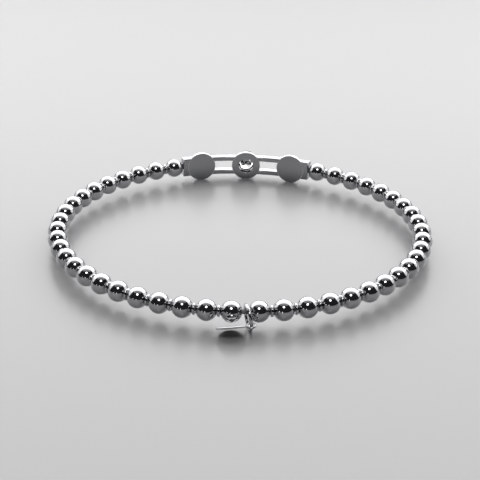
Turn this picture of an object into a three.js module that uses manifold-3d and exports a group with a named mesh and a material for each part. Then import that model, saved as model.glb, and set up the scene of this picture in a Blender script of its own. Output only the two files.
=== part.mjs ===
// A stretch bracelet of polished metal beads, lying flat as a whole loop.
// The loop's thread runs level round a circle. At the back a curved station stands on its three
// drums, the middle one holding a stone. At the front a jump ring hangs round the cord between
// two beads and carries a small round tag that leans on the surface.
// Millimetres, +Z up. The station is at +Y, the tag at -Y, and the loop rests on z = 0.

import * as THREE from "three";
import { mergeVertices } from "three/addons/utils/BufferGeometryUtils.js";
import Module from "manifold-3d";

const wasm = await Module();
wasm.setup();

// Beads, and the gaps along the thread.
const BEAD_RADIUS = 1.5;
const BEAD_PITCH = 3.35;
const BEAD_SIDES = 12;
const SPACER_NECK_RADIUS = 0.6;
const STATION_LENGTH = 21.4;
const STATION_GAP = 0.32;
const TAG_GAP = 3.7; // between the centres of the two beads on each side of the jump ring
const RIGHT_RUNS = [4, 4, 4, 5, 5]; // beads in each run, from the station towards the tag
const LEFT_RUNS = [4, 4, 5, 5, 5];

// Station: two level rails closed by an end plate at each end, and three round drums.
const RAIL_WIDTH = 1.45;
const RAIL_HEIGHT = 0.7;
const FRAME_HEIGHT = 3.05;
const END_PLATE_LENGTH = 0.8;
const DRUM_RADIUS = 2.4;
const DRUM_SPACING = 7.8;
const DRUM_EDGE = 0.14;
const DRUM_BACK = -0.85; // distances outward from the thread
const DRUM_FRONT = -0.2;
const COLLAR_RADIUS = 1.88;
const COLLAR_FRONT = 0.9;
const CUP_COLLAR_RADIUS = 2.05;
const CUP_BORE_RADIUS = 1.72;
const CUP_WINDOW_RADIUS = 1.25;
const CUP_LIP = 0.3;
const DRUM_SIDES = 28;
const RAIL_STEPS = 20;

// Stone: a round brilliant, its point towards the wrist.
const STONE_RADIUS = 1.4;
const STONE_TABLE_RADIUS = 0.8;
const STONE_POINT = -0.4;
const STONE_GIRDLE = 0.8;
const STONE_GIRDLE_HEIGHT = 0.1;
const STONE_TABLE = 1.3;
const STONE_SIDES = 16;

// Jump ring, and the tag with its soldered eye.
const RING_RADIUS = 1.68; // to the middle of the wire
const RING_WIRE_RADIUS = 0.21;
const RING_FORWARD = 0.55; // from the thread to the ring's middle
const RING_YAW = THREE.MathUtils.degToRad(12);
const RING_LEAN = THREE.MathUtils.degToRad(-7);
const RING_PIVOT_BACK = 1.28; // the part of the ring behind the thread keeps to the gap's middle
const TAG_RADIUS = 2.1;
const TAG_THICKNESS = 0.3;
const TAG_SIDES = 32;
const TAG_SLOPE = THREE.MathUtils.degToRad(27);
const TAG_ROLL = THREE.MathUtils.degToRad(4.5);
const TAG_CENTRE = new THREE.Vector3(-1.82, -2.25, 1.18); // from the point below the thread
const EYE_RADIUS = 0.67;
const EYE_WIRE_RADIUS = 0.13;
const EYE_ANGLE = THREE.MathUtils.degToRad(-15); // on the jump ring, from its foremost point
const RING_STEPS = 28;
const RING_WIRE_SIDES = 10;
const EYE_STEPS = 20;
const EYE_WIRE_SIDES = 8;

const MERGE_DISTANCE = 1e-5;
const SIDES = { right: { sign: 1, runs: RIGHT_RUNS }, left: { sign: -1, runs: LEFT_RUNS } };
const THREAD_HEIGHT = DRUM_RADIUS;
const FIRST_BEAD = STATION_LENGTH / 2 + STATION_GAP + BEAD_RADIUS;
const beadCount = (runs) => runs.reduce((total, count) => total + count, 0);
const lastBead = (runs) => FIRST_BEAD + (beadCount(runs) - 1) * BEAD_PITCH;
const THREAD_LENGTH = lastBead(RIGHT_RUNS) + TAG_GAP + lastBead(LEFT_RUNS);
const THREAD_RADIUS = THREAD_LENGTH / (2 * Math.PI);
const TAG_PLACE = lastBead(RIGHT_RUNS) + TAG_GAP / 2;

// Turns a distance along the thread, from the station's middle and clockwise from above, into
// the angle round the loop.
const angleAt = (distance) => distance / THREAD_RADIUS;

// A frame on the thread: its -Y points out of the loop, +X anticlockwise along the thread.
function threadFrame(distance) {
  const frame = new THREE.Object3D();
  const angle = angleAt(distance);
  frame.position.set(THREAD_RADIUS * Math.sin(angle), THREAD_RADIUS * Math.cos(angle), 0);
  frame.rotation.z = Math.PI - angle;
  return frame;
}

// Wraps a shape that stands along +Y, centred on the thread's own line, round the loop so that
// its middle comes to the given distance.
function wrapRound(geometry, distance) {
  const place = geometry.getAttribute("position");
  for (let i = 0; i < place.count; i += 1) {
    const angle = angleAt(distance + place.getY(i));
    const radius = THREAD_RADIUS - place.getX(i);
    place.setXYZ(i, radius * Math.sin(angle), radius * Math.cos(angle), THREAD_HEIGHT + place.getZ(i));
  }
  geometry.computeVertexNormals();
  return geometry;
}

function solidOf(geometry) {
  const bare = geometry.clone();
  bare.deleteAttribute("normal");
  bare.deleteAttribute("uv");
  const merged = mergeVertices(bare, MERGE_DISTANCE);
  const vertProperties = new Float32Array(merged.getAttribute("position").array);
  const triVerts = new Uint32Array(merged.getIndex().array);
  return new wasm.Manifold(new wasm.Mesh({ numProp: 3, vertProperties, triVerts }));
}

function geometryOf(solid) {
  const mesh = solid.getMesh();
  const geometry = new THREE.BufferGeometry();
  geometry.setAttribute("position", new THREE.BufferAttribute(mesh.vertProperties, 3));
  geometry.setIndex(new THREE.BufferAttribute(mesh.triVerts, 1));
  geometry.computeVertexNormals();
  return geometry;
}

const join = (geometries) => geometryOf(geometries.map(solidOf).reduce((all, next) => all.add(next)));

// Beads on their thread, with the spacer between two beads as a neck.
function beadRunGeometry(count) {
  const firstCentre = (-(count - 1) / 2) * BEAD_PITCH;
  const bands = BEAD_SIDES / 2;
  const profile = [new THREE.Vector2(0, firstCentre - BEAD_RADIUS)];
  for (let bead = 0; bead < count; bead += 1) {
    const centre = firstCentre + bead * BEAD_PITCH;
    for (let band = 1; band < bands; band += 1) {
      const polar = (band / bands) * Math.PI;
      const along = centre - BEAD_RADIUS * Math.cos(polar);
      profile.push(new THREE.Vector2(BEAD_RADIUS * Math.sin(polar), along));
    }
    if (bead < count - 1) {
      profile.push(new THREE.Vector2(SPACER_NECK_RADIUS, centre + BEAD_PITCH / 2));
    }
  }
  profile.push(new THREE.Vector2(0, -firstCentre + BEAD_RADIUS));
  return new THREE.LatheGeometry(profile, BEAD_SIDES);
}

// A level bar of rectangular section that follows the thread on both sides of the station's
// middle, its height centred on the thread.
function curvedBar(length, width, height) {
  const outer = THREAD_RADIUS + width / 2;
  const inner = THREAD_RADIUS - width / 2;
  const start = Math.PI / 2 - angleAt(length / 2);
  const end = Math.PI / 2 + angleAt(length / 2);
  const outline = new THREE.Shape();
  outline.absarc(0, 0, outer, start, end, false);
  outline.absarc(0, 0, inner, end, start, true);
  const extrusion = { depth: height, bevelEnabled: false, curveSegments: RAIL_STEPS };
  return new THREE.ExtrudeGeometry(outline, extrusion).translate(0, 0, THREAD_HEIGHT - height / 2);
}

// Turns a profile of [radius, distance outward] points into a solid across the thread.
function acrossThread(profile, distance, sides) {
  const points = profile.map(([radius, outward]) => new THREE.Vector2(radius, outward));
  const geometry = new THREE.LatheGeometry(points, sides);
  geometry.rotateX(Math.PI);
  geometry.translate(0, 0, THREAD_HEIGHT);
  const frame = threadFrame(distance);
  frame.updateMatrixWorld();
  return geometry.applyMatrix4(frame.matrixWorld);
}

function drumGeometry(distance) {
  const profile = [
    [0, DRUM_BACK],
    [DRUM_RADIUS - DRUM_EDGE, DRUM_BACK],
    [DRUM_RADIUS, DRUM_BACK + DRUM_EDGE],
    [DRUM_RADIUS, DRUM_FRONT],
    [COLLAR_RADIUS, DRUM_FRONT],
    [COLLAR_RADIUS, COLLAR_FRONT],
    [0, COLLAR_FRONT],
  ];
  return acrossThread(profile, distance, DRUM_SIDES);
}

function cupGeometry() {
  const profile = [
    [CUP_WINDOW_RADIUS, DRUM_BACK],
    [DRUM_RADIUS - DRUM_EDGE, DRUM_BACK],
    [DRUM_RADIUS, DRUM_BACK + DRUM_EDGE],
    [DRUM_RADIUS, DRUM_FRONT],
    [CUP_COLLAR_RADIUS, DRUM_FRONT],
    [CUP_COLLAR_RADIUS, COLLAR_FRONT],
    [CUP_BORE_RADIUS, COLLAR_FRONT],
    [CUP_BORE_RADIUS, DRUM_BACK + CUP_LIP],
    [CUP_WINDOW_RADIUS, DRUM_BACK + CUP_LIP],
    [CUP_WINDOW_RADIUS, DRUM_BACK],
  ];
  return acrossThread(profile, 0, DRUM_SIDES);
}

// One bar with its window cut out, which leaves the rails and end plates, opened again behind
// the cup's wall so that the stone hangs clear.
function stationGeometry() {
  const bar = curvedBar(STATION_LENGTH, RAIL_WIDTH, FRAME_HEIGHT);
  const windowLength = STATION_LENGTH - 2 * END_PLATE_LENGTH;
  const window = curvedBar(windowLength, 2 * RAIL_WIDTH, FRAME_HEIGHT - 2 * RAIL_HEIGHT);
  const boreRadius = (CUP_BORE_RADIUS + CUP_COLLAR_RADIUS) / 2;
  const boreProfile = [
    [0, -2 * RAIL_WIDTH],
    [boreRadius, -2 * RAIL_WIDTH],
    [boreRadius, 2 * RAIL_WIDTH],
    [0, 2 * RAIL_WIDTH],
  ];
  const bore = acrossThread(boreProfile, 0, DRUM_SIDES);
  const frame = solidOf(bar).subtract(solidOf(window)).subtract(solidOf(bore));
  const drums = [drumGeometry(-DRUM_SPACING), drumGeometry(DRUM_SPACING), cupGeometry()];
  return geometryOf(drums.map(solidOf).reduce((all, drum) => all.add(drum), frame));
}

function stoneGeometry() {
  const profile = [
    [0, STONE_POINT],
    [STONE_RADIUS, STONE_GIRDLE - STONE_GIRDLE_HEIGHT / 2],
    [STONE_RADIUS, STONE_GIRDLE + STONE_GIRDLE_HEIGHT / 2],
    [STONE_TABLE_RADIUS, STONE_TABLE],
    [0, STONE_TABLE],
  ];
  return acrossThread(profile, 0, STONE_SIDES);
}

// The jump ring's own frame: the ring lies in its Y-Z plane.
function jumpRingFrame() {
  const frame = new THREE.Object3D();
  const sideways = (RING_FORWARD + RING_PIVOT_BACK) * Math.tan(RING_YAW);
  const middle = RING_RADIUS * Math.cos(RING_LEAN) + RING_WIRE_RADIUS;
  frame.position.set(sideways, -RING_FORWARD, middle);
  frame.rotation.set(0, RING_LEAN, RING_YAW, "ZYX");
  const gap = threadFrame(TAG_PLACE);
  gap.add(frame);
  gap.updateMatrixWorld();
  return frame;
}

function jumpRingGeometry() {
  const ring = new THREE.TorusGeometry(RING_RADIUS, RING_WIRE_RADIUS, RING_WIRE_SIDES, RING_STEPS);
  ring.rotateY(Math.PI / 2);
  return ring.applyMatrix4(jumpRingFrame().matrixWorld);
}

// The tag: a round plate that leans back under the beads, and an eye that the ring runs through.
function tagGeometry() {
  const plateFrame = new THREE.Object3D();
  plateFrame.position.copy(TAG_CENTRE);
  plateFrame.rotation.set(-TAG_SLOPE, -TAG_ROLL, 0);
  const gap = threadFrame(TAG_PLACE);
  gap.add(plateFrame);
  gap.updateMatrixWorld();
  const plate = new THREE.CylinderGeometry(TAG_RADIUS, TAG_RADIUS, TAG_THICKNESS, TAG_SIDES);
  plate.rotateX(Math.PI / 2);
  plate.applyMatrix4(plateFrame.matrixWorld);

  const eyeFrame = new THREE.Object3D();
  eyeFrame.position.set(0, -RING_RADIUS * Math.cos(EYE_ANGLE), RING_RADIUS * Math.sin(EYE_ANGLE));
  eyeFrame.rotation.x = -EYE_ANGLE;
  const ringFrame = jumpRingFrame();
  ringFrame.add(eyeFrame);
  ringFrame.parent.updateMatrixWorld();
  const eye = new THREE.TorusGeometry(EYE_RADIUS, EYE_WIRE_RADIUS, EYE_WIRE_SIDES, EYE_STEPS);
  eye.applyMatrix4(eyeFrame.matrixWorld);
  return join([plate, eye]);
}

const metal = () => new THREE.MeshStandardMaterial({ color: 0xd9dbde, roughness: 0.08, metalness: 1 });
const crystal = () => new THREE.MeshStandardMaterial({ color: 0xf4f8fb, roughness: 0.02, metalness: 0 });

function piece(name, geometry, material) {
  const mesh = new THREE.Mesh(geometry, material);
  mesh.name = name;
  return mesh;
}

function beadRuns() {
  const pieces = [];
  for (const [side, { sign, runs }] of Object.entries(SIDES)) {
    let before = 0;
    runs.forEach((count, index) => {
      const middle = FIRST_BEAD + (before + (count - 1) / 2) * BEAD_PITCH;
      const geometry = wrapRound(beadRunGeometry(count), sign * middle);
      pieces.push(piece(`bead_run_${side}_${index + 1}`, geometry, metal()));
      before += count;
    });
  }
  return pieces;
}

const bracelet = new THREE.Group();
bracelet.add(...beadRuns());
bracelet.add(piece("station_frame", stationGeometry(), metal()));
bracelet.add(piece("centre_stone", stoneGeometry(), crystal()));
bracelet.add(piece("jump_ring", jumpRingGeometry(), metal()));
bracelet.add(piece("tag", tagGeometry(), metal()));

// The origin is below the middle of the whole bracelet, on the surface that it rests on.
const bounds = new THREE.Box3().setFromObject(bracelet, true);
const middle = bounds.getCenter(new THREE.Vector3());
bracelet.position.set(-middle.x, -middle.y, -bounds.min.z);

export default bracelet;
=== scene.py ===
"""A stretch bracelet of polished beads, with a curved station that holds a stone, and a tag.

The beads and their spacer rings lie on one elastic cord, which runs level round a circle. At
the back the cord is fixed in a soldered station of two rails and three round drums. At the
front a jump ring hangs round the cord and carries a small bare tag.
"""

import logging
import math
from dataclasses import dataclass, field
from enum import Enum
from typing import Callable, Iterable, Sequence

import bpy
from mathutils import Matrix, Vector


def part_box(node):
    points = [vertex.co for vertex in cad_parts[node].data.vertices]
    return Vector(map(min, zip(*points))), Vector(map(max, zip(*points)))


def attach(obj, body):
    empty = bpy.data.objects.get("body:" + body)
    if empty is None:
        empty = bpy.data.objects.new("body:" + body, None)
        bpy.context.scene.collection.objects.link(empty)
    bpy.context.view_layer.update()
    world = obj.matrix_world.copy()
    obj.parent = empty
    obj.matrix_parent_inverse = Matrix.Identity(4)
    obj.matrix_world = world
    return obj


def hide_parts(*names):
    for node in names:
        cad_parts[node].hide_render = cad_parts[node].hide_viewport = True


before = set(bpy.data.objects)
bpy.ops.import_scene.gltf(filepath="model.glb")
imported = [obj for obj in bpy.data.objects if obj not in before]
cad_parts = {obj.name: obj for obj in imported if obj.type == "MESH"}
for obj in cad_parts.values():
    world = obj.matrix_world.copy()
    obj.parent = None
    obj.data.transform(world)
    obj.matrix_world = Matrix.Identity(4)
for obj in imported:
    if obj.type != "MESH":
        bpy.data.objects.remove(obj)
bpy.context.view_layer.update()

LOG = logging.getLogger("bracelet")
MM = 0.001
# A point this near to a cut's plane counts as on it, in metres.
CUT_THRESHOLD = 1e-9
# Points nearer to each other than this are merged, in metres.
WELD_DISTANCE = 1e-7
# A face is square to an axis when its normal has more than this along it.
SQUARE_ON = 0.999
# A face with more corners than this is the flat end of something round.
CAP_SIDES = 8

Point = tuple[float, float, float]
Colour = tuple[float, float, float, float]


class Side(Enum):
    """The two ways round the loop from the station's middle, as the sign of the distance."""

    RIGHT = 1
    LEFT = -1


class Slot(Enum):
    """The record's material slots."""

    BEADS = "bead_metal"
    STATION = "station_metal"
    STONE = "stone"
    RING = "ring_metal"
    TAG = "tag_metal"


# ---------------------------------------------------------------------------------------------
# The bench: what every piece is made with
# ---------------------------------------------------------------------------------------------


def put_down() -> None:
    """Leaves nothing selected and nothing active."""
    for item in bpy.context.selected_objects:
        item.select_set(False)
    bpy.context.view_layer.objects.active = None


def take_up(*items: bpy.types.Object) -> bpy.types.Object:
    """Selects these objects alone and makes the first one active.

    Args:
        items: the objects to work on.

    Returns:
        The first object.
    """
    put_down()
    for item in items:
        item.select_set(True)
    bpy.context.view_layer.objects.active = items[0]
    return items[0]


def open_mesh(item: bpy.types.Object, mode: str = "FACE") -> None:
    """Goes into edit mode on one object, with nothing in it selected.

    Args:
        item: the object to shape.
        mode: what is selected, VERT, EDGE or FACE.
    """
    take_up(item)
    bpy.ops.object.mode_set(mode="EDIT")
    bpy.ops.mesh.select_mode(type=mode)
    bpy.ops.mesh.select_all(action="DESELECT")
    bpy.ops.object.mode_set(mode="OBJECT")
    bpy.ops.object.mode_set(mode="EDIT")


def close_mesh() -> None:
    """Comes back to object mode."""
    bpy.ops.object.mode_set(mode="OBJECT")


def pick_faces(item: bpy.types.Object, wanted: Callable[[bpy.types.MeshPolygon], bool]) -> int:
    """Selects the faces that a test picks, and comes back to edit mode.

    Args:
        item: the object that is open in edit mode.
        wanted: says whether a face is picked.

    Returns:
        How many faces are selected.
    """
    bpy.ops.mesh.select_all(action="DESELECT")
    close_mesh()
    picked = 0
    for face in item.data.polygons:
        face.select = bool(wanted(face))
        picked += face.select
    bpy.ops.object.mode_set(mode="EDIT")
    return picked


def fix_place(item: bpy.types.Object) -> bpy.types.Object:
    """Puts an object's place, turn and size into its mesh.

    Args:
        item: the object.

    Returns:
        The same object, now at the origin.
    """
    take_up(item)
    bpy.ops.object.transform_apply(location=True, rotation=True, scale=True)
    return item


def carry(item: bpy.types.Object, place: Matrix) -> bpy.types.Object:
    """Moves an object by a matrix and puts the move into its mesh.

    Args:
        item: the object, which stands at the origin.
        place: where it goes.

    Returns:
        The same object.
    """
    item.matrix_world = place
    return fix_place(item)


def copy_of(item: bpy.types.Object, name: str) -> bpy.types.Object:
    """Copies an object together with its mesh.

    Args:
        item: the object that was modelled once.
        name: the copy's name.

    Returns:
        The copy.
    """
    copy = item.copy()
    copy.data = item.data.copy()
    copy.name = copy.data.name = name
    bpy.context.scene.collection.objects.link(copy)
    return copy


def join_all(items: Sequence[bpy.types.Object], name: str) -> bpy.types.Object:
    """Joins objects into one.

    Args:
        items: the objects.
        name: the name of the whole.

    Returns:
        The whole.
    """
    whole = take_up(*items)
    if len(items) > 1:
        bpy.ops.object.join()
    whole.name = whole.data.name = name
    return whole


def scrap(item: bpy.types.Object) -> None:
    """Throws an object and its mesh away.

    Args:
        item: the object.
    """
    mesh = item.data
    bpy.data.objects.remove(item, do_unlink=True)
    bpy.data.meshes.remove(mesh)


def round_edges(item: bpy.types.Object, width: float, steps: int, angle: float = 35.0) -> None:
    """Rounds an object's sharp edges.

    Args:
        item: the object.
        width: the rounding's width, in millimetres.
        steps: faces across the rounding.
        angle: edges that turn by more than this many degrees are rounded.
    """
    take_up(item)
    bevel = item.modifiers.new("rounded", "BEVEL")
    bevel.width = width * MM
    bevel.segments = steps
    bevel.limit_method = "ANGLE"
    bevel.angle_limit = math.radians(angle)
    bevel.use_clamp_overlap = True
    bpy.ops.object.modifier_apply(modifier=bevel.name)


def cut_away(item: bpy.types.Object, cutter: bpy.types.Object) -> None:
    """Cuts one solid's shape out of another, and throws the cutter away.

    Args:
        item: the solid that is cut.
        cutter: the shape of the hole.
    """
    take_up(item)
    cut = item.modifiers.new("cut", "BOOLEAN")
    cut.operation = "DIFFERENCE"
    cut.solver = "EXACT"
    cut.object = cutter
    bpy.ops.object.modifier_apply(modifier=cut.name)
    scrap(cutter)


def smooth(item: bpy.types.Object, angle: float = 30.0) -> None:
    """Shades an object smooth, apart from its sharp edges.

    Args:
        item: the object.
        angle: an edge that turns by more than this many degrees stays sharp.
    """
    take_up(item)
    bpy.ops.object.shade_smooth_by_angle(angle=math.radians(angle))


def mend_normals(item: bpy.types.Object) -> None:
    """Merges doubled points and turns every face outwards.

    Args:
        item: the object.
    """
    open_mesh(item, "VERT")
    bpy.ops.mesh.select_all(action="SELECT")
    bpy.ops.mesh.remove_doubles(threshold=WELD_DISTANCE)
    bpy.ops.mesh.normals_make_consistent(inside=False)
    close_mesh()


def facing(azimuth: float, elevation: float) -> Vector:
    """The direction from the loop towards a lamp or the camera.

    Args:
        azimuth: degrees from the tag's side of the loop, anticlockwise from above.
        elevation: degrees above the table.

    Returns:
        The direction, of length one.
    """
    around, up = math.radians(azimuth), math.radians(elevation)
    level = math.cos(up)
    return Vector((math.sin(around) * level, -math.cos(around) * level, math.sin(up)))


def turned_bar(radius: float, start: float, end: float, sides: int, name: str) -> bpy.types.Object:
    """A round bar along Y, between two distances.

    Args:
        radius: its radius, in millimetres.
        start: where it starts along Y.
        end: where it ends.
        sides: faces round it.
        name: its name.

    Returns:
        The bar, with its place in its mesh.
    """
    put_down()
    bpy.ops.mesh.primitive_cylinder_add(
        vertices=sides,
        radius=radius * MM,
        depth=(end - start) * MM,
        location=(0.0, (start + end) / 2 * MM, 0.0),
        rotation=(math.pi / 2, 0.0, 0.0),
    )
    bar = fix_place(bpy.context.active_object)
    bar.name = bar.data.name = name
    return bar


# ---------------------------------------------------------------------------------------------
# Finishes
# ---------------------------------------------------------------------------------------------


def add_node(tree: bpy.types.NodeTree, kind: str, **values: object) -> bpy.types.Node:
    """Adds a shader node.

    Args:
        tree: the material's nodes.
        kind: the node's type.
        values: its properties, and the values of the inputs of those names.

    Returns:
        The node.
    """
    node = tree.nodes.new(kind)
    for key, value in values.items():
        if hasattr(node, key):
            setattr(node, key, value)
        else:
            node.inputs[key.replace("_", " ")].default_value = value
    return node


def new_finish(name: str) -> tuple[bpy.types.Material, bpy.types.Node]:
    """Starts a material that has one shader.

    Args:
        name: the material's name.

    Returns:
        The material and its shader.
    """
    made = bpy.data.materials.new(name)
    made.use_nodes = True
    tree = made.node_tree
    tree.nodes.clear()
    output = add_node(tree, "ShaderNodeOutputMaterial")
    shader = add_node(tree, "ShaderNodeBsdfPrincipled")
    tree.links.new(shader.outputs["BSDF"], output.inputs["Surface"])
    return made, shader


@dataclass(frozen=True)
class WhiteMetal:
    """White metal, from mirror to satin: fine wheel marks, and a haze that comes and goes."""

    name: str
    colour: Colour = (0.55, 0.555, 0.565, 1.0)
    edge_tint: Colour = (0.95, 0.96, 0.98, 1.0)
    clearest: float = 0.03
    haziest: float = 0.085
    haze_scale: float = 420.0
    haze_range: tuple[float, float] = (0.35, 0.7)
    dulling: float = 0.93
    mark_scale: float = 5200.0
    mark_depth: float = 0.05
    mark_height: float = 0.00002

    def material(self) -> bpy.types.Material:
        """Builds the material.

        Returns:
            The material.
        """
        made, metal = new_finish(self.name)
        tree = made.node_tree
        metal.inputs["Metallic"].default_value = 1.0
        metal.inputs["Specular Tint"].default_value = self.edge_tint
        place = add_node(tree, "ShaderNodeTexCoord")
        haze = add_node(tree, "ShaderNodeTexNoise", Scale=self.haze_scale, Detail=3.0)
        patchy = add_node(tree, "ShaderNodeMapRange")
        patchy.inputs["From Min"].default_value = self.haze_range[0]
        patchy.inputs["From Max"].default_value = self.haze_range[1]
        patchy.inputs["To Min"].default_value = self.clearest
        patchy.inputs["To Max"].default_value = self.haziest
        tone = add_node(tree, "ShaderNodeMix", data_type="RGBA")
        dull = tuple(channel * self.dulling for channel in self.colour[:3]) + (1.0,)
        tone.inputs["A"].default_value = self.colour
        tone.inputs["B"].default_value = dull
        marks = add_node(tree, "ShaderNodeTexNoise", Scale=self.mark_scale, Detail=2.0)
        raised = add_node(
            tree, "ShaderNodeBump", Strength=self.mark_depth, Distance=self.mark_height
        )
        link = tree.links.new
        link(place.outputs["Object"], haze.inputs["Vector"])
        link(haze.outputs["Fac"], patchy.inputs["Value"])
        link(patchy.outputs["Result"], metal.inputs["Roughness"])
        link(haze.outputs["Fac"], tone.inputs["Factor"])
        link(tone.outputs["Result"], metal.inputs["Base Color"])
        link(place.outputs["Object"], marks.inputs["Vector"])
        link(marks.outputs["Fac"], raised.inputs["Height"])
        link(raised.outputs["Normal"], metal.inputs["Normal"])
        return made


@dataclass(frozen=True)
class ClearCrystal:
    """Clear cut crystal, polished to sharp facets."""

    name: str
    colour: Colour = (0.99, 0.995, 1.0, 1.0)
    cloud: Colour = (0.965, 0.975, 0.985, 1.0)
    cloud_scale: float = 900.0
    bend: float = 2.4
    polish: float = 0.004

    def material(self) -> bpy.types.Material:
        """Builds the material.

        Returns:
            The material.
        """
        made, crystal = new_finish(self.name)
        tree = made.node_tree
        crystal.inputs["Transmission Weight"].default_value = 1.0
        crystal.inputs["IOR"].default_value = self.bend
        crystal.inputs["Roughness"].default_value = self.polish
        place = add_node(tree, "ShaderNodeTexCoord")
        cloud = add_node(tree, "ShaderNodeTexNoise", Scale=self.cloud_scale, Detail=1.0)
        tone = add_node(tree, "ShaderNodeMix", data_type="RGBA")
        tone.inputs["A"].default_value = self.colour
        tone.inputs["B"].default_value = self.cloud
        link = tree.links.new
        link(place.outputs["Object"], cloud.inputs["Vector"])
        link(cloud.outputs["Fac"], tone.inputs["Factor"])
        link(tone.outputs["Result"], crystal.inputs["Base Color"])
        return made


@dataclass(frozen=True)
class ElasticThread:
    """Smoke-grey elastic, a bundle of fine strands with a soft shine."""

    name: str
    colour: Colour = (0.16, 0.16, 0.17, 1.0)
    strand_colour: Colour = (0.3, 0.3, 0.31, 1.0)
    strand_scale: float = 9000.0
    strand_depth: float = 0.3
    strand_height: float = 0.00003
    roughness: float = 0.42
    sheen: float = 0.2

    def material(self) -> bpy.types.Material:
        """Builds the material.

        Returns:
            The material.
        """
        made, elastic = new_finish(self.name)
        tree = made.node_tree
        elastic.inputs["Roughness"].default_value = self.roughness
        elastic.inputs["Sheen Weight"].default_value = self.sheen
        place = add_node(tree, "ShaderNodeTexCoord")
        strand = add_node(tree, "ShaderNodeTexNoise", Scale=self.strand_scale, Detail=1.0)
        tone = add_node(tree, "ShaderNodeMix", data_type="RGBA")
        tone.inputs["A"].default_value = self.colour
        tone.inputs["B"].default_value = self.strand_colour
        raised = add_node(
            tree, "ShaderNodeBump", Strength=self.strand_depth, Distance=self.strand_height
        )
        link = tree.links.new
        link(place.outputs["Object"], strand.inputs["Vector"])
        link(strand.outputs["Fac"], tone.inputs["Factor"])
        link(tone.outputs["Result"], elastic.inputs["Base Color"])
        link(strand.outputs["Fac"], raised.inputs["Height"])
        link(raised.outputs["Normal"], elastic.inputs["Normal"])
        return made


@dataclass(frozen=True)
class PaleTable:
    """A pale, smooth table top with a very soft shine."""

    name: str
    colour: Colour = (0.39, 0.39, 0.394, 1.0)
    roughness: float = 0.3

    def material(self) -> bpy.types.Material:
        """Builds the material.

        Returns:
            The material.
        """
        made = bpy.data.materials.new(self.name)
        made.use_nodes = True
        top = made.node_tree.nodes["Principled BSDF"]
        top.inputs["Base Color"].default_value = self.colour
        top.inputs["Roughness"].default_value = self.roughness
        return made


def dress(item: bpy.types.Object, material: bpy.types.Material) -> None:
    """Gives an object one material in place of any it has."""
    item.data.materials.clear()
    item.data.materials.append(material)


def trim(
    item: bpy.types.Object,
    material: bpy.types.Material,
    wanted: Callable[[bpy.types.MeshPolygon], bool],
) -> None:
    """Gives some of an object's faces a second material.

    Args:
        item: the object, already dressed.
        material: the second material.
        wanted: says whether a face has it.
    """
    item.data.materials.append(material)
    for face in item.data.polygons:
        if wanted(face):
            face.material_index = len(item.data.materials) - 1


# ---------------------------------------------------------------------------------------------
# The loop
# ---------------------------------------------------------------------------------------------


@dataclass(frozen=True)
class Thread:
    """The line that the cord follows: a level circle. Distances run clockwise from the station."""

    bead_radius: float = 1.5
    bead_pitch: float = 3.35
    station_length: float = 21.4
    station_gap: float = 0.32
    tag_gap: float = 3.7
    height: float = 2.4
    stone_table: float = 1.3
    right_runs: tuple[int, ...] = (4, 4, 4, 5, 5)
    left_runs: tuple[int, ...] = (4, 4, 5, 5, 5)

    def runs(self, side: Side) -> tuple[int, ...]:
        """How many beads each run on one side has, from the station on."""
        return self.right_runs if side is Side.RIGHT else self.left_runs

    def bead_at(self, index: int) -> float:
        """The distance from the station's middle to a bead, the first being bead 0."""
        first = self.station_length / 2 + self.station_gap + self.bead_radius
        return first + index * self.bead_pitch

    def last_bead(self, side: Side) -> float:
        """The distance from the station's middle to one side's last bead."""
        return self.bead_at(sum(self.runs(side)) - 1)

    @property
    def length(self) -> float:
        """The circle's whole length."""
        return self.last_bead(Side.RIGHT) + self.tag_gap + self.last_bead(Side.LEFT)

    @property
    def radius(self) -> float:
        """The circle's radius."""
        return self.length / (2 * math.pi)

    @property
    def ring_place(self) -> float:
        """The distance to the middle of the gap that the jump ring hangs in."""
        return self.last_bead(Side.RIGHT) + self.tag_gap / 2

    @property
    def centre(self) -> Vector:
        """The circle's centre on the table, in metres, measured from the stone's outer face."""
        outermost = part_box("centre_stone")[1][1]
        return Vector((0.0, outermost - (self.radius + self.stone_table) * MM, 0.0))

    def angle(self, distance: float) -> float:
        """The angle round the circle that a distance comes to."""
        return distance / self.radius

    def place(self, distance: float, height: float | None = None) -> Matrix:
        """A frame on the circle, whose -Y points out of the loop.

        Args:
            distance: the distance clockwise from the station's middle.
            height: its height above the table, or the thread's own.

        Returns:
            The frame, with its origin in metres.
        """
        turn = self.angle(distance)
        reach = self.radius * MM
        lift = (self.height if height is None else height) * MM
        spot = self.centre + Vector((reach * math.sin(turn), reach * math.cos(turn), lift))
        return Matrix.Translation(spot) @ Matrix.Rotation(math.pi - turn, 4, "Z")


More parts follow.
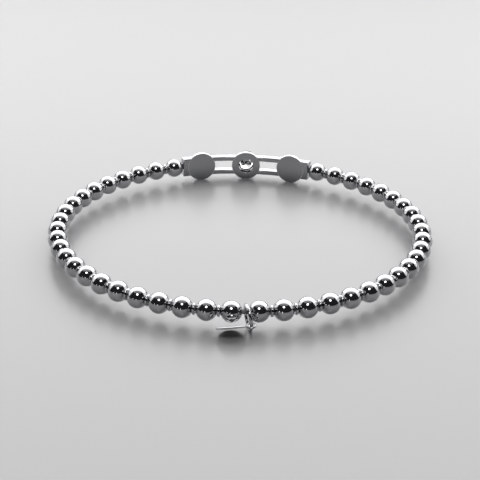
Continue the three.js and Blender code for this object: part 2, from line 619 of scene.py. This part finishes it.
@dataclass
class BeadString:
    """The beads and the small rings between them, each modelled once and copied along."""

    thread: Thread
    metal: bpy.types.Material
    bead_sides: int = 56
    hole_radius: float = 0.42
    hole_depth: float = 0.3
    hole_edge: float = 0.07
    hole_slope: float = 0.6
    spacer_ring: float = 0.63
    spacer_wire: float = 0.22
    spacer_sides: int = 40
    spacer_wire_sides: int = 16
    made: list[bpy.types.Object] = field(default_factory=list)

    def bead(self) -> bpy.types.Object:
        """Models one bead, drilled along X with softened mouths.

        Returns:
            The bead, centred on the origin.
        """
        put_down()
        radius = self.thread.bead_radius
        bpy.ops.mesh.primitive_uv_sphere_add(
            segments=self.bead_sides,
            ring_count=self.bead_sides // 2,
            radius=radius * MM,
            rotation=(0.0, math.pi / 2, 0.0),
        )
        bead = fix_place(bpy.context.active_object)
        mouth = math.sqrt(radius**2 - self.hole_radius**2)
        for way in (-1.0, 1.0):
            open_mesh(bead, "VERT")
            bpy.ops.mesh.select_all(action="SELECT")
            bpy.ops.mesh.bisect(
                plane_co=(way * mouth * MM, 0.0, 0.0),
                plane_no=(way, 0.0, 0.0),
                use_fill=True,
                clear_outer=True,
                threshold=CUT_THRESHOLD,
            )
            close_mesh()
        open_mesh(bead)
        pick_faces(bead, lambda face: self.is_mouth(face, abs(face.normal.x)))
        bpy.ops.mesh.inset(
            thickness=self.hole_edge * MM, depth=-self.hole_edge * self.hole_slope * MM
        )
        for way in (-1.0, 1.0):
            pick_faces(bead, lambda face: self.is_mouth(face, face.normal.x * way))
            bpy.ops.mesh.extrude_region_move(
                TRANSFORM_OT_translate={"value": (-way * self.hole_depth * MM, 0.0, 0.0)}
            )
        close_mesh()
        mend_normals(bead)
        smooth(bead, 32.0)
        return bead

    @staticmethod
    def is_mouth(face: bpy.types.MeshPolygon, square: float) -> bool:
        """Whether a face is a hole's mouth, from how square it stands to the thread."""
        return square > SQUARE_ON and len(face.vertices) > CAP_SIDES

    def spacer(self) -> bpy.types.Object:
        """Models one small round ring, threaded along X.

        Returns:
            The ring, centred on the origin.
        """
        put_down()
        bpy.ops.mesh.primitive_torus_add(
            major_segments=self.spacer_sides,
            minor_segments=self.spacer_wire_sides,
            major_radius=self.spacer_ring * MM,
            minor_radius=self.spacer_wire * MM,
            rotation=(0.0, math.pi / 2, 0.0),
        )
        spacer = fix_place(bpy.context.active_object)
        smooth(spacer, 60.0)
        return spacer

    def build(self) -> list[bpy.types.Object]:
        """Builds every run of beads, and the rings on each side.

        Returns:
            The finished pieces.
        """
        bead = self.bead()
        spacer = self.spacer()
        for side in Side:
            rings = []
            index = 0
            for number, count in enumerate(self.thread.runs(side), start=1):
                name = f"{side.name.lower()}_{number}"
                beads = []
                for _ in range(count):
                    distance = side.value * self.thread.bead_at(index)
                    beads.append(carry(copy_of(bead, "bead"), self.thread.place(distance)))
                    if index:
                        between = distance - side.value * self.thread.bead_pitch / 2
                        rings.append(carry(copy_of(spacer, "spacer"), self.thread.place(between)))
                    index += 1
                run = join_all(beads, f"beads_{name}")
                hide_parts(f"bead_run_{name}")
                self.made.append(run)
            self.made.append(join_all(rings, f"spacer_rings_{side.name.lower()}"))
        scrap(bead)
        scrap(spacer)
        for piece in self.made:
            dress(piece, self.metal)
            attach(piece, "root")
        return self.made


@dataclass
class ElasticCord:
    """The cord inside the beads, from one end of the station round to the other."""

    thread: Thread
    elastic: bpy.types.Material
    radius: float = 0.33
    tuck: float = 0.3
    sides: int = 16
    steps: int = 240

    def build(self) -> list[bpy.types.Object]:
        """Builds the cord.

        Returns:
            The cord alone.
        """
        start = self.thread.station_length / 2 - self.tuck
        sweep = 2 * math.pi - 2 * self.thread.angle(start)
        put_down()
        bpy.ops.mesh.primitive_circle_add(
            vertices=self.sides,
            radius=self.radius * MM,
            fill_type="NGON",
            rotation=(0.0, math.pi / 2, 0.0),
        )
        cord = fix_place(bpy.context.active_object)
        carry(cord, self.thread.place(start))
        centre = self.thread.centre
        open_mesh(cord)
        bpy.ops.mesh.select_all(action="SELECT")
        bpy.ops.mesh.spin(
            steps=self.steps,
            angle=sweep,
            center=(centre.x, centre.y, centre.z),
            axis=(0.0, 0.0, 1.0),
        )
        close_mesh()
        mend_normals(cord)
        smooth(cord, 50.0)
        cord.name = cord.data.name = "elastic_cord"
        dress(cord, self.elastic)
        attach(cord, "root")
        return [cord]


# ---------------------------------------------------------------------------------------------
# The station
# ---------------------------------------------------------------------------------------------


@dataclass
class Station:
    """The soldered station: a curved frame of two rails with closed ends, and three drums."""

    thread: Thread
    metal: bpy.types.Material
    # The rims' lighter metal, which paints a highlight on them.
    rim: bpy.types.Material
    length: float = 22.0
    rail_width: float = 1.45
    rail_height: float = 0.7
    frame_height: float = 3.05
    frame_edge: float = 0.16
    end_length: float = 0.9
    hole_radius: float = 0.45
    hole_sides: int = 32
    drum_radius: float = 2.4
    drum_spacing: float = 7.8
    drum_back: float = 0.85
    drum_front: float = -0.2
    drum_edge: float = 0.13
    collar_radius: float = 1.88
    collar_front: float = 0.9
    cup_collar_radius: float = 2.05
    cup_collar_front: float = 1.0
    cup_bore_radius: float = 1.5
    cup_window_radius: float = 1.22
    cup_lip: float = 0.25
    cup_edge: float = 0.09
    cutter_reach: float = 4.0
    sides: int = 96
    steps: int = 64

    def curved_bar(self, length: float, width: float, height: float) -> bpy.types.Object:
        """Bends a bar of rectangular section along the thread, about the station's middle.

        Args:
            length: its length along the thread.
            width: its width across the thread, on the level.
            height: its height, centred on the thread's.

        Returns:
            The bar.
        """
        put_down()
        bpy.ops.mesh.primitive_plane_add(size=1.0, rotation=(0.0, math.pi / 2, 0.0))
        bar = fix_place(bpy.context.active_object)
        bar.scale = (1.0, width * MM, height * MM)
        fix_place(bar)
        carry(bar, self.thread.place(-length / 2))
        centre = self.thread.centre
        open_mesh(bar)
        bpy.ops.mesh.select_all(action="SELECT")
        bpy.ops.mesh.spin(
            steps=self.steps,
            angle=self.thread.angle(length),
            center=(centre.x, centre.y, centre.z),
            axis=(0.0, 0.0, 1.0),
        )
        close_mesh()
        mend_normals(bar)
        return bar

    def rails(self) -> bpy.types.Object:
        """Cuts the window and the cord's holes out of a bar, and opens it behind the cup.

        Returns:
            The two rails with their closed ends.
        """
        rails = self.curved_bar(self.length, self.rail_width, self.frame_height)
        window_length = self.length - 2 * self.end_length
        window_height = self.frame_height - 2 * self.rail_height
        cut_away(rails, self.curved_bar(window_length, 2 * self.rail_width, window_height))
        for side in Side:
            hole = turned_bar(
                self.hole_radius, -self.end_length, self.end_length, self.hole_sides, "hole"
            )
            carry(hole, Matrix.Rotation(math.pi / 2, 4, "Z"))
            end = side.value * (self.length - self.end_length) / 2
            cut_away(rails, carry(hole, self.thread.place(end)))
        round_edges(rails, self.frame_edge, 4, 50.0)
        opening = (self.cup_bore_radius + self.cup_collar_radius) / 2
        bore = turned_bar(opening, -2 * self.rail_width, 2 * self.rail_width, self.sides, "bore")
        cut_away(rails, carry(bore, self.thread.place(0.0)))
        rails.name = rails.data.name = "station_rails"
        return rails

    def blank(self, collar: float, front: float, name: str) -> bpy.types.Object:
        """Turns a drum's blank: a flat disc with a narrower collar in front of it.

        Args:
            collar: the collar's radius.
            front: how far the collar stands out from the thread.
            name: its name.

        Returns:
            The blank at the origin, its back towards +Y.
        """
        blank = turned_bar(self.drum_radius, -self.drum_front, self.drum_back, self.sides, name)
        open_mesh(blank)
        pick_faces(blank, lambda face: face.normal.y < -SQUARE_ON)
        bpy.ops.mesh.inset(thickness=(self.drum_radius - collar) * MM, depth=0.0)
        step = front - self.drum_front
        bpy.ops.mesh.extrude_region_move(TRANSFORM_OT_translate={"value": (0.0, -step * MM, 0.0)})
        close_mesh()
        return blank

    def dress_with_rim_highlight(self, drum: bpy.types.Object) -> bpy.types.Object:
        """Dresses a drum in polished metal, with a lighter satin metal round its rim: the satin
        roughness is real, the lighter colour is a painted highlight.

        Args:
            drum: the drum at the origin.

        Returns:
            The same drum.
        """
        inside = (self.drum_radius - self.drum_edge) * MM
        dress(drum, self.metal)
        # The rim band gets the lighter metal: a painted highlight round the drum's edge.
        trim(drum, self.rim, lambda face: math.hypot(face.center.x, face.center.z) > inside)
        return drum

    def cup(self) -> bpy.types.Object:
        """Turns the stone's cup: a drum bored through, with a lip behind and a seat in front.

        Returns:
            The cup at the origin, its back towards +Y.
        """
        cup = self.blank(self.cup_collar_radius, self.cup_collar_front, "stone_cup")
        reach, seat = self.cutter_reach, self.drum_back - self.cup_lip
        cut_away(cup, turned_bar(self.cup_bore_radius, -reach, seat, self.sides, "bore"))
        cut_away(cup, turned_bar(self.cup_window_radius, -reach, reach, self.sides, "window"))
        round_edges(cup, self.cup_edge, 4)
        return cup

    def build(self) -> list[bpy.types.Object]:
        """Builds the station's pieces.

        Returns:
            The rails with their closed ends, the two drums and the cup.
        """
        right = self.blank(self.collar_radius, self.collar_front, "station_drum_right")
        round_edges(right, self.drum_edge, 6)
        self.dress_with_rim_highlight(right)
        left = copy_of(right, "station_drum_left")
        pieces = [
            self.rails(),
            carry(right, self.thread.place(self.drum_spacing)),
            carry(left, self.thread.place(-self.drum_spacing)),
            carry(self.dress_with_rim_highlight(self.cup()), self.thread.place(0.0)),
        ]
        dress(pieces[0], self.metal)
        for piece in pieces:
            smooth(piece, 30.0)
            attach(piece, "root")
            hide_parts("station_frame")
        return pieces


@dataclass
class Brilliant:
    """The stone: a round brilliant, cut facet by facet from a round blank, point inwards."""

    thread: Thread
    crystal: bpy.types.Material
    radius: float = 1.4
    girdle: float = 0.8
    girdle_height: float = 0.06
    table_radius: float = 0.8
    table: float = 1.3
    point: float = -0.4
    turn: float = 8.0
    sides: int = 64
    mains: int = 8
    star_rise: float = 16.0
    crown_drop: float = 7.0
    crown_bite: float = 0.994
    pavilion_drop: float = 3.0
    pavilion_bite: float = 0.995

    def facet(self, stone: bpy.types.Object, turn: float, slope: float, depth: float) -> None:
        """Grinds one flat facet.

        Args:
            stone: not used; the facet is cut in the mesh open in edit mode, the stone, its axis
                along -Y.
            turn: where the facet faces round the axis, in degrees.
            slope: how far it faces up from the girdle's plane, in degrees; down if negative.
            depth: the facet's distance from the girdle's centre, in millimetres.
        """
        around, up = math.radians(turn), math.radians(slope)
        level = math.cos(up)
        outward = Vector((level * math.cos(around), -math.sin(up), level * math.sin(around)))
        centre = Vector((0.0, -self.girdle * MM, 0.0))
        bpy.ops.mesh.select_all(action="SELECT")
        bpy.ops.mesh.bisect(
            plane_co=centre + outward * depth * MM,
            plane_no=outward,
            use_fill=True,
            clear_outer=True,
            threshold=CUT_THRESHOLD,
        )

    def build(self) -> list[bpy.types.Object]:
        """Cuts the stone.

        Returns:
            The stone alone.
        """
        stone = turned_bar(self.radius, -self.table, -self.point, self.sides, "stone")
        crown = self.table - self.girdle
        pavilion = self.girdle - self.point
        half = self.girdle_height / 2
        bezel = math.degrees(math.atan2(self.radius - self.table_radius, crown - half))
        main = math.degrees(math.atan2(self.radius, pavilion - half))
        open_mesh(stone, "VERT")
        for step in range(self.mains):
            turn = self.sector * step
            self.grind_crown(stone, turn, bezel, half)
            self.grind_pavilion(stone, turn, main, half)
        close_mesh()
        carry(stone, Matrix.Rotation(math.radians(self.turn), 4, "Y"))
        carry(stone, self.thread.place(0.0))
        stone.name = stone.data.name = "brilliant_stone"
        take_up(stone)
        bpy.ops.object.shade_flat()
        dress(stone, self.crystal)
        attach(stone, "root")
        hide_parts("centre_stone")
        return [stone]

    @property
    def sector(self) -> float:
        """The angle round the stone that one main facet has, in degrees."""
        return 360.0 / self.mains

    def grind_crown(self, stone: bpy.types.Object, turn: float, bezel: float, half: float) -> None:
        """Grinds one eighth of the crown: a kite, a star and two girdle facets.

        Args:
            stone: the stone.
            turn: where the kite faces.
            bezel: the kite's slope.
            half: half the girdle's height.
        """
        reach = self.radius * math.cos(math.radians(bezel)) + half * math.sin(math.radians(bezel))
        self.facet(stone, turn, bezel, reach)
        girdle_slope = bezel - self.crown_drop
        slope = math.radians(girdle_slope)
        edge = self.radius * math.cos(slope) + half * math.sin(slope)
        for way in (-1.0, 1.0):
            beside = turn + way * self.sector / 4
            self.facet(stone, beside, girdle_slope, edge * self.crown_bite)
        star_slope = bezel + self.star_rise
        slope = math.radians(star_slope)
        corner = self.table_radius * math.cos(math.radians(self.sector / 2))
        rise = self.table - self.girdle
        self.facet(
            stone,
            turn + self.sector / 2,
            star_slope,
            corner * math.cos(slope) + rise * math.sin(slope),
        )

    def grind_pavilion(
        self, stone: bpy.types.Object, turn: float, main: float, half: float
    ) -> None:
        """Grinds one eighth of the pavilion: a main facet and two girdle facets.

        Args:
            stone: the stone.
            turn: where the main facet faces.
            main: its slope below the girdle.
            half: half the girdle's height.
        """
        slope = math.radians(main)
        reach = self.radius * math.cos(slope) + half * math.sin(slope)
        self.facet(stone, turn, -main, reach)
        lower = main - self.pavilion_drop
        slope = math.radians(lower)
        edge = self.radius * math.cos(slope) + half * math.sin(slope)
        for way in (-1.0, 1.0):
            self.facet(stone, turn + way * self.sector / 4, -lower, edge * self.pavilion_bite)


# ---------------------------------------------------------------------------------------------
# The jump ring and the tag
# ---------------------------------------------------------------------------------------------


@dataclass
class JumpRing:
    """A ring of round wire round the cord, standing on the table and leaning a little."""

    thread: Thread
    metal: bpy.types.Material
    radius: float = 1.65
    wire: float = 0.24
    forward: float = 0.55
    pivot_back: float = 1.28
    yaw: float = 12.0
    lean: float = -7.0
    joint: float = 0.35
    joint_turn: float = 118.0
    sides: int = 24
    steps: int = 120

    def place(self) -> Matrix:
        """Finds the ring's own frame.

        Returns:
            The frame, in whose Y-Z plane the ring lies.
        """
        yaw, lean = math.radians(self.yaw), math.radians(self.lean)
        sideways = (self.forward + self.pivot_back) * math.tan(yaw)
        lift = self.radius * math.cos(lean) + self.wire
        here = self.thread.place(self.thread.ring_place, 0.0)
        spot = Matrix.Translation(Vector((sideways, -self.forward, lift)) * MM)
        return here @ spot @ Matrix.Rotation(yaw, 4, "Z") @ Matrix.Rotation(lean, 4, "Y")

    def build(self) -> list[bpy.types.Object]:
        """Bends the wire into its ring, with the joint's fine cut in it.

        Returns:
            The ring alone.
        """
        put_down()
        bpy.ops.mesh.primitive_circle_add(
            vertices=self.sides,
            radius=self.wire * MM,
            fill_type="NGON",
            location=(0.0, self.radius * MM, 0.0),
        )
        ring = fix_place(bpy.context.active_object)
        open_mesh(ring)
        bpy.ops.mesh.select_all(action="SELECT")
        bpy.ops.mesh.spin(
            steps=self.steps,
            angle=math.radians(360.0 - self.joint),
            center=(0.0, 0.0, 0.0),
            axis=(1.0, 0.0, 0.0),
        )
        close_mesh()
        mend_normals(ring)
        smooth(ring, 50.0)
        carry(ring, Matrix.Rotation(math.radians(self.joint_turn), 4, "X"))
        carry(ring, self.place())
        ring.name = ring.data.name = "wire_jump_ring"
        dress(ring, self.metal)
        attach(ring, "root")
        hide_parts("jump_ring")
        return [ring]


@dataclass
class Tag:
    """A round bare tag whose eye hangs on the jump ring."""

    thread: Thread
    jump_ring: JumpRing
    metal: bpy.types.Material
    # The edge's lighter metal, which paints a highlight on it.
    rim: bpy.types.Material
    radius: float = 2.1
    thickness: float = 0.3
    edge: float = 0.09
    slope: float = 27.0
    roll: float = 4.5
    centre: Point = (-1.82, -2.25, 1.18)
    eye_radius: float = 0.52
    eye_wire: float = 0.14
    eye_turn: float = -15.0
    sides: int = 96
    eye_sides: int = 64
    eye_wire_sides: int = 20

    def place(self) -> Matrix:
        """Finds the plate's own frame.

        Returns:
            The frame, in whose X-Y plane the plate lies.
        """
        here = self.thread.place(self.thread.ring_place, 0.0)
        slope = Matrix.Rotation(math.radians(-self.slope), 4, "X")
        roll = Matrix.Rotation(math.radians(-self.roll), 4, "Y")
        return here @ Matrix.Translation(Vector(self.centre) * MM) @ slope @ roll

    def plate(self) -> bpy.types.Object:
        """Stamps the round plate, with a softened edge.

        Returns:
            The plate, in its place.
        """
        put_down()
        bpy.ops.mesh.primitive_cylinder_add(
            vertices=self.sides, radius=self.radius * MM, depth=self.thickness * MM
        )
        plate = fix_place(bpy.context.active_object)
        round_edges(plate, self.edge, 4)
        dress(plate, self.metal)
        # The plate's edge gets the lighter rim metal: a painted highlight along it.
        trim(plate, self.rim, lambda face: abs(face.normal.z) < SQUARE_ON)
        return carry(plate, self.place())

    def eye(self) -> bpy.types.Object:
        """Bends the eye round the jump ring.

        Returns:
            The eye, in its place.
        """
        turn = math.radians(self.eye_turn)
        reach = self.jump_ring.radius
        spot = Vector((0.0, -reach * math.cos(turn), reach * math.sin(turn))) * MM
        put_down()
        bpy.ops.mesh.primitive_torus_add(
            major_segments=self.eye_sides,
            minor_segments=self.eye_wire_sides,
            major_radius=self.eye_radius * MM,
            minor_radius=self.eye_wire * MM,
        )
        eye = fix_place(bpy.context.active_object)
        dress(eye, self.metal)
        here = Matrix.Translation(spot) @ Matrix.Rotation(-turn, 4, "X")
        return carry(eye, self.jump_ring.place() @ here)

    def build(self) -> list[bpy.types.Object]:
        """Builds the tag.

        Returns:
            The tag alone.
        """
        tag = join_all([self.plate(), self.eye()], "round_tag")
        smooth(tag, 32.0)
        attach(tag, "root")
        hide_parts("tag")
        return [tag]


# ---------------------------------------------------------------------------------------------
# The studio
# ---------------------------------------------------------------------------------------------


class Face(Enum):
    """The shape of a lamp's face."""

    ROUND = "ELLIPSE"
    SQUARE = "RECTANGLE"


@dataclass(frozen=True)
class Softbox:
    """One lamp with a soft face, given by where it stands as seen from the loop."""

    name: str
    azimuth: float
    elevation: float
    distance: float
    wide: float
    tall: float
    brightness: float
    face: Face = Face.SQUARE
    colour: tuple[float, float, float] = (1.0, 1.0, 1.0)

    def build(self, target: Vector) -> bpy.types.Object:
        """Sets the lamp up, facing the target.

        Args:
            target: what it lights.

        Returns:
            The lamp.
        """
        lamp = bpy.data.lights.new(self.name, "AREA")
        area = self.wide * self.tall * (math.pi / 4 if self.face is Face.ROUND else 1.0)
        lamp.energy = self.brightness * math.pi * area
        lamp.color = self.colour
        lamp.shape = self.face.value
        lamp.size = self.wide
        lamp.size_y = self.tall
        item = bpy.data.objects.new(self.name, lamp)
        bpy.context.scene.collection.objects.link(item)
        back = facing(self.azimuth, self.elevation)
        item.location = target + back * self.distance
        item.rotation_mode = "QUATERNION"
        item.rotation_quaternion = (-back).to_track_quat("-Z", "Y")
        return item


@dataclass
class Studio:
    """A pale table, soft lamps, a dim room round them, and the camera."""

    thread: Thread
    table: bpy.types.Material
    table_size: float = 3.0
    room: Colour = (0.02, 0.02, 0.022, 1.0)
    azimuth: float = 1.69
    elevation: float = 23.67
    distance: float = 202.0
    tip: float = 0.489
    roll: float = 0.99
    lens: float = 99.75
    film: float = 36.0
    nearest: float = 0.01
    farthest: float = 20.0
    lamps: tuple[Softbox, ...] = (
        Softbox("overhead", 180.0, 60.0, 0.75, 2.0, 0.55, 1.8),
        Softbox("overhead_front", 0.0, 87.5, 0.8, 1.0, 0.36, 0.36),
        Softbox("back", 180.0, 28.0, 0.95, 1.7, 0.6, 2.8),
        Softbox("left_side", -112.0, 21.0, 0.3, 0.24, 0.17, 1.2),
        Softbox("right_side", 112.0, 21.0, 0.3, 0.24, 0.17, 1.2),
        Softbox("key", 0.0, 56.5, 0.7, 0.24, 0.24, 6.0, Face.ROUND),
        Softbox("low_left", -12.0, 5.0, 0.6, 0.05, 0.05, 5.0, Face.ROUND),
        Softbox("low_side", -42.0, 6.0, 0.6, 0.05, 0.05, 4.0, Face.ROUND),
    )

    def build(self) -> None:
        """Sets up the table, the lamps, the room's dim light and the camera."""
        put_down()
        bpy.ops.mesh.primitive_plane_add(size=self.table_size)
        table = bpy.context.active_object
        table.name = table.data.name = "table_top"
        dress(table, self.table)
        target = self.thread.centre + Vector((0.0, 0.0, self.thread.height * MM))
        for lamp in self.lamps:
            lamp.build(target)
        world = bpy.data.worlds.new("dim_room")
        world.use_nodes = True
        world.node_tree.nodes["Background"].inputs["Color"].default_value = self.room
        world.node_tree.nodes["Background"].inputs["Strength"].default_value = 1.0
        bpy.context.scene.world = world
        bpy.context.scene.view_settings.view_transform = "Standard"
        self.camera(target)

    def camera(self, target: Vector) -> None:
        """Points the camera at the loop from across the tag.

        Args:
            target: the loop's centre, at the thread's height.
        """
        back = facing(self.azimuth, self.elevation)
        data = bpy.data.cameras.new("camera")
        data.sensor_width = self.film
        data.lens = self.lens
        data.clip_start, data.clip_end = self.nearest, self.farthest
        camera = bpy.data.objects.new("camera", data)
        bpy.context.scene.collection.objects.link(camera)
        aim = (-back).to_track_quat("-Z", "Y").to_matrix().to_4x4()
        tip = Matrix.Rotation(math.radians(-self.tip), 4, "X")
        roll = Matrix.Rotation(math.radians(self.roll), 4, "Z")
        spot = Matrix.Translation(target + back * self.distance * MM)
        camera.matrix_world = spot @ aim @ tip @ roll
        bpy.context.scene.camera = camera


def report(pieces: Iterable[bpy.types.Object]) -> None:
    """Logs each piece's name and its number of faces."""
    for piece in pieces:
        LOG.info("%s: %d faces", piece.name, len(piece.data.polygons))


def keep_sizes() -> None:
    """Brings the view layer up to date."""
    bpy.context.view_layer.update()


def main() -> None:
    """Builds the bracelet and the studio, in order."""
    logging.basicConfig(level=logging.INFO, format="%(name)s: %(message)s")
    thread = Thread()
    bead_metal = WhiteMetal("bead_polish").material()
    # The station's metal is a darker copy of the bead metal; the darkening is painted shade, for
    # the dark reflection in the drums' flat backs.
    station_metal = WhiteMetal(
        "station_polish_painted_shade", colour=(0.42, 0.425, 0.435, 1.0), haze_scale=300.0
    ).material()
    ring_metal = WhiteMetal("ring_polish", haziest=0.12).material()
    tag_metal = WhiteMetal("tag_polish", haziest=0.14).material()
    # The drums' rims and the tag's edge: a real satin roughness, and a colour much lighter than
    # the polished metals, which is a painted highlight on these edges.
    rim_highlight_metal = WhiteMetal(
        "rim_satin_painted_highlight", colour=(0.86, 0.865, 0.875, 1.0), clearest=0.38, haziest=0.5, mark_depth=0.1
    ).material()
    jump_ring = JumpRing(thread, ring_metal)
    assemblies = (
        BeadString(thread, bead_metal),
        ElasticCord(thread, ElasticThread("elastic").material()),
        Station(thread, station_metal, rim_highlight_metal),
        Brilliant(thread, ClearCrystal("crystal").material()),
        jump_ring,
        Tag(thread, jump_ring, tag_metal, rim_highlight_metal),
    )
    for assembly in assemblies:
        report(assembly.build())
    Studio(thread, PaleTable("pale_table").material()).build()
    put_down()
    keep_sizes()


if __name__ == "__main__":
    main()
